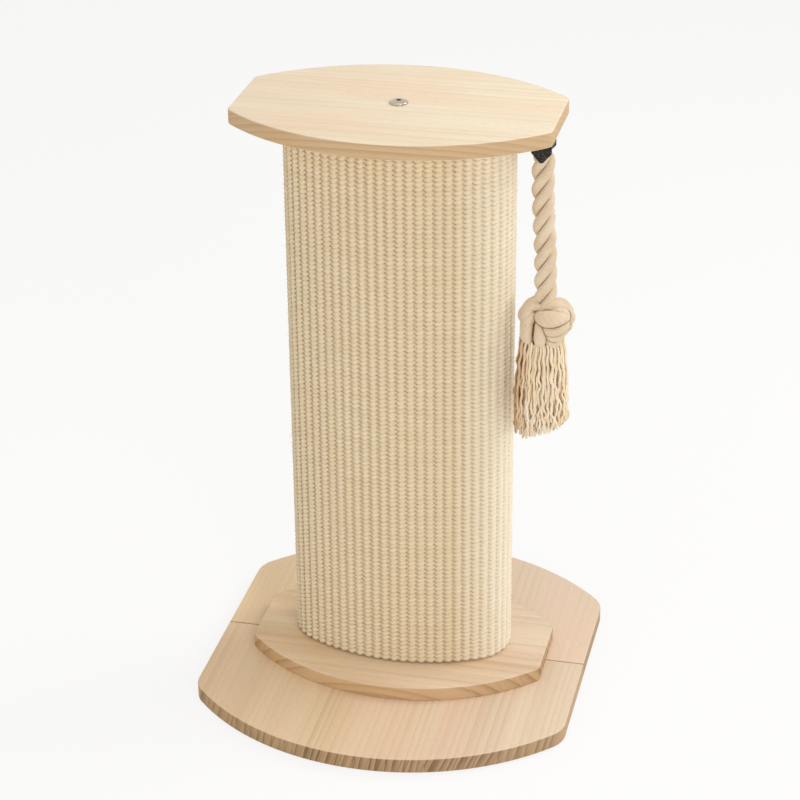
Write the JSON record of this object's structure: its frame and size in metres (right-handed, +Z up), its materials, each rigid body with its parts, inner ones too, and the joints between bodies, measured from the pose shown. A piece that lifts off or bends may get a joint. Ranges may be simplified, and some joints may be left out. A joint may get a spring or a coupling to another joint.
{
  "type": "cat scratching post",
  "caption": "Free-standing scratching post: oval column wrapped in woven sisal between pine boards, with a knotted rope that swings from a swivel hanger under the top board.",
  "frame": {"origin": "on the floor under the middle of the base, at the seam between the two base boards", "axes": "+Z up along the column, +X to the right along the base's seam and the column's long side, -Y towards the front, where the rope hangs to the right"},
  "size_m": [0.4, 0.44, 0.6493],
  "materials": {
    "pine": "satin lacquered pine",
    "plug_wood": "raw sawn softwood",
    "dowel_wood": "raw turned beech",
    "paperboard": "wound brown board",
    "sisal": "woven natural sisal",
    "cotton": "twisted cotton",
    "felt": "pressed felt",
    "bright_steel": "nickel plated",
    "zinc_steel": "zinc plated",
    "black_steel": "gloss black"
  },
  "bodies": {
    "post": {"base_front_board": "pine", "base_back_board": "pine", "riser_board": "pine", "top_board": "pine", "column_core": "paperboard", "sisal_cover": "sisal", "column_top_plug": "plug_wood", "column_bottom_plug": "plug_wood", "top_bolt": "bright_steel", "top_insert": "zinc_steel", "bottom_bolt": "bright_steel", "bottom_insert": "zinc_steel", "base_bolt_front_left": "zinc_steel", "base_insert_front_left": "zinc_steel", "base_bolt_front_right": "zinc_steel", "base_insert_front_right": "zinc_steel", "base_bolt_back_left": "zinc_steel", "base_insert_back_left": "zinc_steel", "base_bolt_back_right": "zinc_steel", "base_insert_back_right": "zinc_steel", "top_dowel_left": "dowel_wood", "bottom_dowel_left": "dowel_wood", "seam_dowel_left": "dowel_wood", "top_dowel_right": "dowel_wood", "bottom_dowel_right": "dowel_wood", "seam_dowel_right": "dowel_wood", "foot_pad_front_left": "felt", "foot_pad_front_middle": "felt", "foot_pad_front_right": "felt", "foot_pad_back_left": "felt", "foot_pad_back_middle": "felt", "foot_pad_back_right": "felt", "hanger_washer": "zinc_steel", "hanger_screw": "black_steel"},
    "hanger": {"hanger_clevis": "black_steel", "hanger_pin": "black_steel"},
    "rope_toy": {"rope": "cotton", "knot": "cotton", "tassel": "cotton"}
  },
  "joints": [
    {"name": "hanger_turn", "type": "hinge", "parent": "post", "child": "hanger", "pos_m": [0.1515, -0.036, 0.6289], "axis": [0, 0, 1], "range_deg": [-75, 75]},
    {"name": "rope_swing", "type": "hinge", "parent": "hanger", "child": "rope_toy", "pos_m": [0.1515, -0.036, 0.6183], "axis": [0, -1, 0], "range_deg": [-3, 60]}
  ]
}
